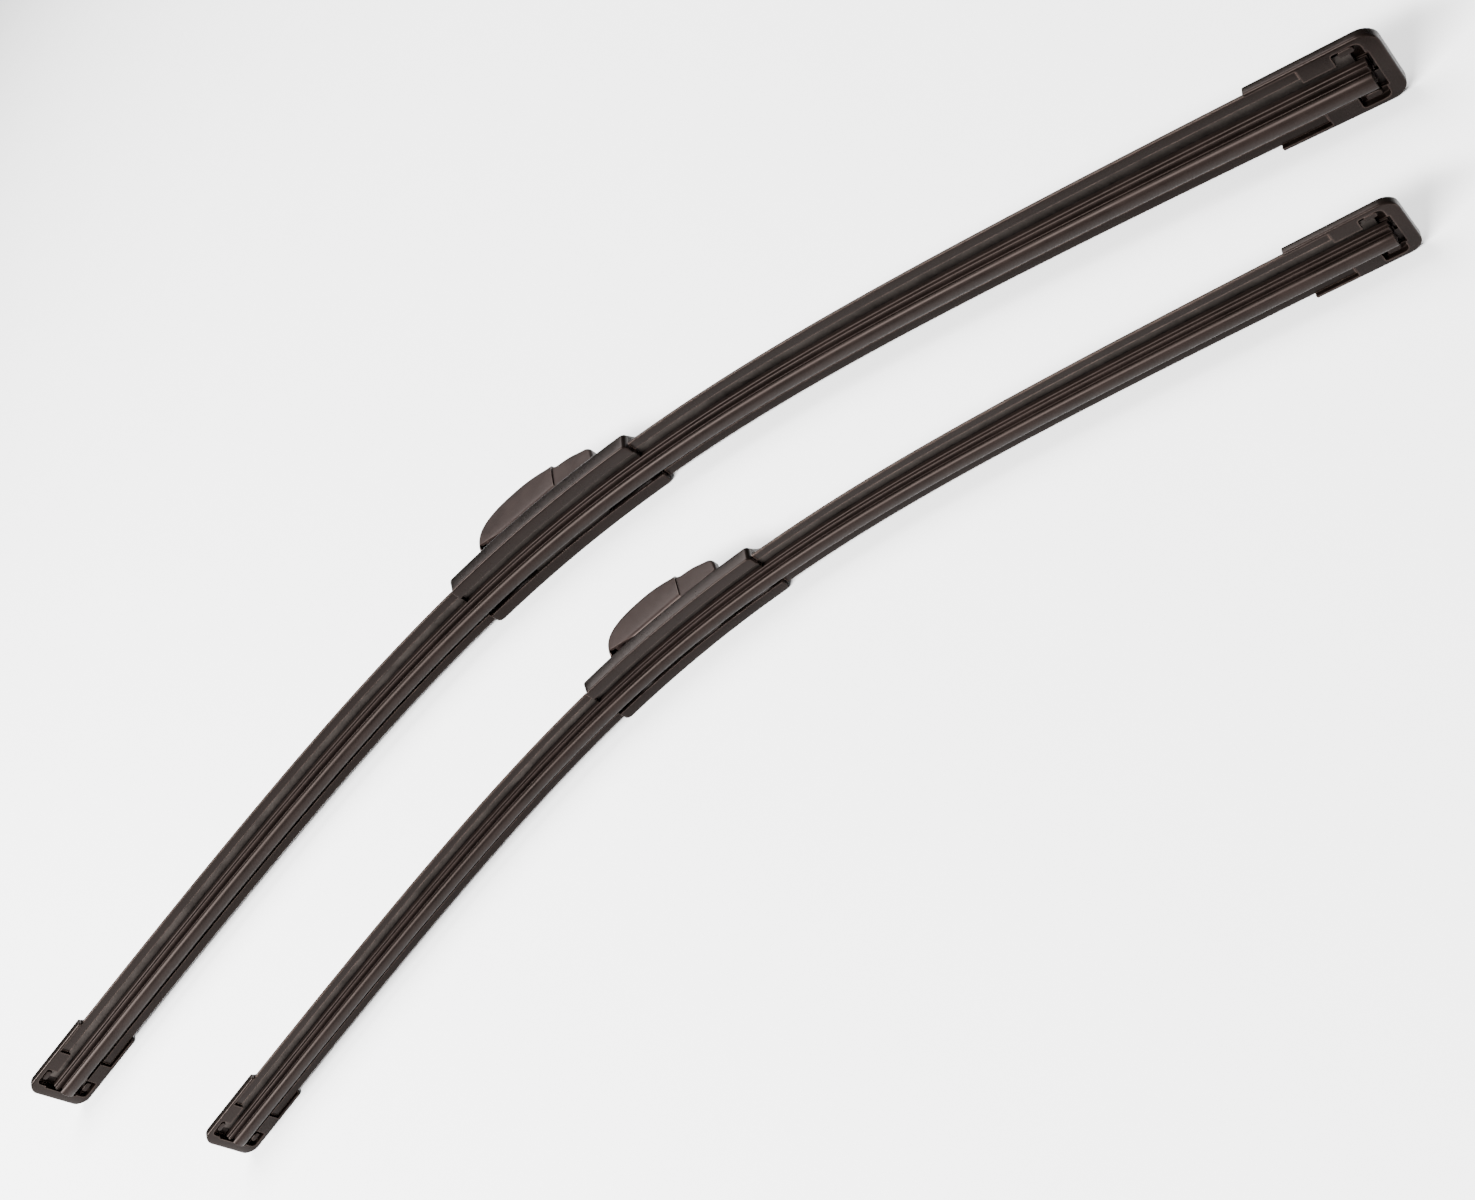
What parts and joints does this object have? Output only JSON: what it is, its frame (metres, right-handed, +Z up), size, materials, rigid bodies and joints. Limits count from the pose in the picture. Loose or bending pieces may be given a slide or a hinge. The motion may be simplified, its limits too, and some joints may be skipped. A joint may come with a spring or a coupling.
{
  "type": "windshield wiper blade pair",
  "caption": "Pair of flat beam wiper blades of two lengths: curved spoilers, rubber wiping elements, end caps, and a middle connector whose rocking hook adapter has a hinged cover.",
  "frame": {"origin": "on the table, under the middle of the longer blade, where its connector shroud rests", "axes": "+X along the longer blade from its left end to its right end, +Y towards the side the wiper arm is on and away from the rubber, +Z up, across the width of the blades"},
  "size_m": [0.5132, 0.151, 0.0212],
  "materials": {
    "shell_plastic": "satin black moulded plastic with a fine grain, slightly brown",
    "spoiler_plastic": "soft-touch black thermoplastic elastomer, satin along the hollow flanks",
    "rubber": "black rubber with a graphite-grey bloom and faint lines along the extrusion",
    "steel": "cold-rolled strip, brushed lengthwise"
  },
  "bodies": {
    "long_beam": {"long_wiping_rubber": "rubber", "long_spring_rail_upper": "steel", "long_spring_rail_lower": "steel", "long_spoiler_left": "spoiler_plastic", "long_spoiler_right": "spoiler_plastic", "long_end_cap_left": "shell_plastic", "long_end_cap_right": "shell_plastic", "long_steel_cradle": "steel", "long_connector_shroud": "shell_plastic", "long_pivot_pin": "steel"},
    "long_adapter": {"long_hook_adapter": "shell_plastic", "long_cover_hinge_pin": "steel"},
    "long_cover": {"long_adapter_cover": "shell_plastic"},
    "short_beam": {"short_wiping_rubber": "rubber", "short_spring_rail_upper": "steel", "short_spring_rail_lower": "steel", "short_spoiler_left": "spoiler_plastic", "short_spoiler_right": "spoiler_plastic", "short_end_cap_left": "shell_plastic", "short_end_cap_right": "shell_plastic", "short_steel_cradle": "steel", "short_connector_shroud": "shell_plastic", "short_pivot_pin": "steel"},
    "short_adapter": {"short_hook_adapter": "shell_plastic", "short_cover_hinge_pin": "steel"},
    "short_cover": {"short_adapter_cover": "shell_plastic"}
  },
  "joints": [
    {"name": "long_adapter_pivot", "type": "hinge", "parent": "long_beam", "child": "long_adapter", "pos_m": [0, 0.0104, 0.0106], "axis": [0, 0, 1], "range_deg": [-8, 10]},
    {"name": "long_cover_hinge", "type": "hinge", "parent": "long_adapter", "child": "long_cover", "pos_m": [-0.0225, 0.0115, 0.0106], "axis": [0, 0, 1], "range_deg": [0, 75]},
    {"name": "short_adapter_pivot", "type": "hinge", "parent": "short_beam", "child": "short_adapter", "pos_m": [0.03647, -0.06379, 0.00848], "axis": [0, 0, 1], "range_deg": [-8, 10]},
    {"name": "short_cover_hinge", "type": "hinge", "parent": "short_adapter", "child": "short_cover", "pos_m": [0.01844, -0.06385, 0.00848], "axis": [0, 0, 1], "range_deg": [0, 75]},
    {"name": "blade_spacing", "type": "slide", "parent": "long_beam", "child": "short_beam", "axis": [0, -1, 0], "range_m": [0, 0.1]}
  ]
}
